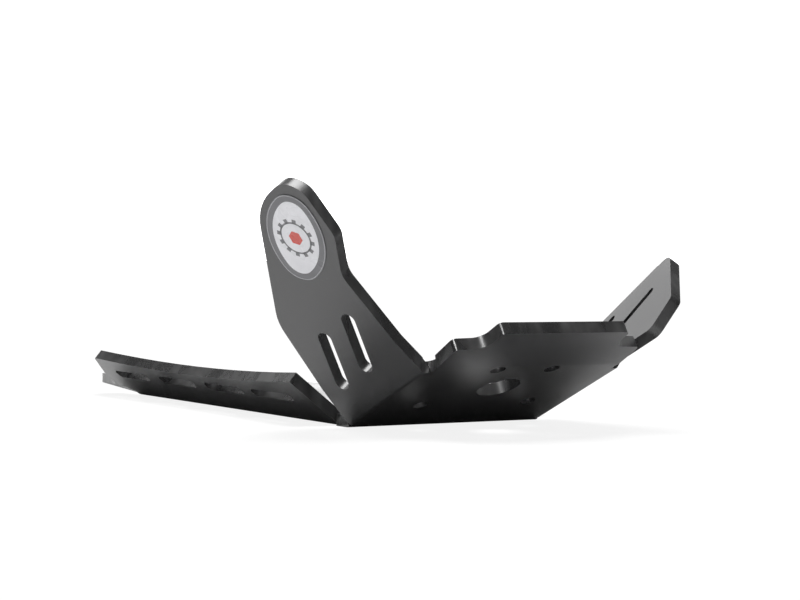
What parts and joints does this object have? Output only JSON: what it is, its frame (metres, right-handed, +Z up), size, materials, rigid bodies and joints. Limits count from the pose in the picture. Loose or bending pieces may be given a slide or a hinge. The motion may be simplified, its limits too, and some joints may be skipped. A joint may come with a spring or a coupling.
{
  "type": "motorcycle skid plate",
  "caption": "Under-engine guard folded from one thick black plastic sheet: a long flat run with slotted wings, a raised panel with bolt holes and side panels, one with an oval badge.",
  "frame": {"origin": "centre of the long run's flat underside, halfway between its fold and its far end", "axes": "+Z up out of the underside, +Y along the long run away from the raised panel, +X across, towards the low side panel"},
  "size_m": [0.2957, 0.5938, 0.1607],
  "materials": {
    "black_sheet": "satin",
    "badge_print": "gloss"
  },
  "bodies": {
    "root": {"skid_plate": "black_sheet", "side_badge": "badge_print"}
  },
  "joints": []
}
